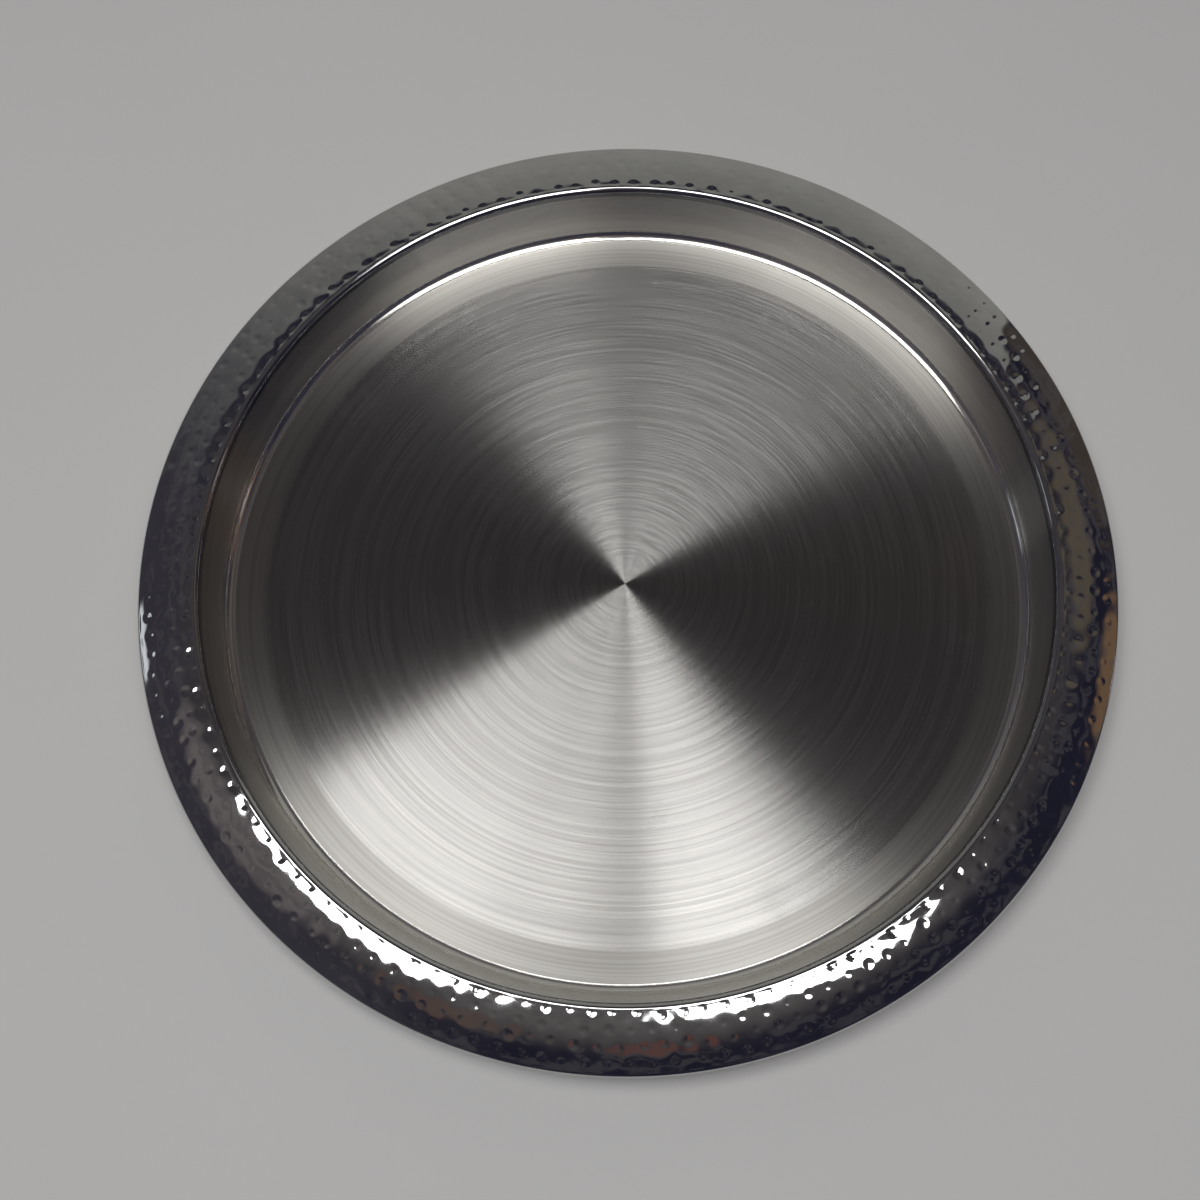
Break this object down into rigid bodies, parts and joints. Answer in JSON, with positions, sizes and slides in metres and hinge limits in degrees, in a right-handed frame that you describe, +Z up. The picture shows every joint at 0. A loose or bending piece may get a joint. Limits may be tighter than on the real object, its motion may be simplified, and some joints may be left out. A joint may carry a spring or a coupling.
{
  "type": "serving tray",
  "caption": "Round steel serving tray with a shallow flat-floored well, a smooth bead and a sloping hammered rim curled over a wire edge.",
  "frame": {"origin": "centre of the tray's flat underside, on the surface it stands on", "axes": "+Z up along the tray's axis; the tray is round, so +X and +Y are free"},
  "size_m": [0.3559, 0.356, 0.0255],
  "materials": {
    "brushed_pan": "circular brushed floor, satin wall",
    "mirror_rim": "mirror polished, hammered",
    "wire": "drawn wire"
  },
  "bodies": {
    "root": {"well_pan": "brushed_pan", "hammered_rim": "mirror_rim", "edge_wire": "wire"}
  },
  "joints": []
}
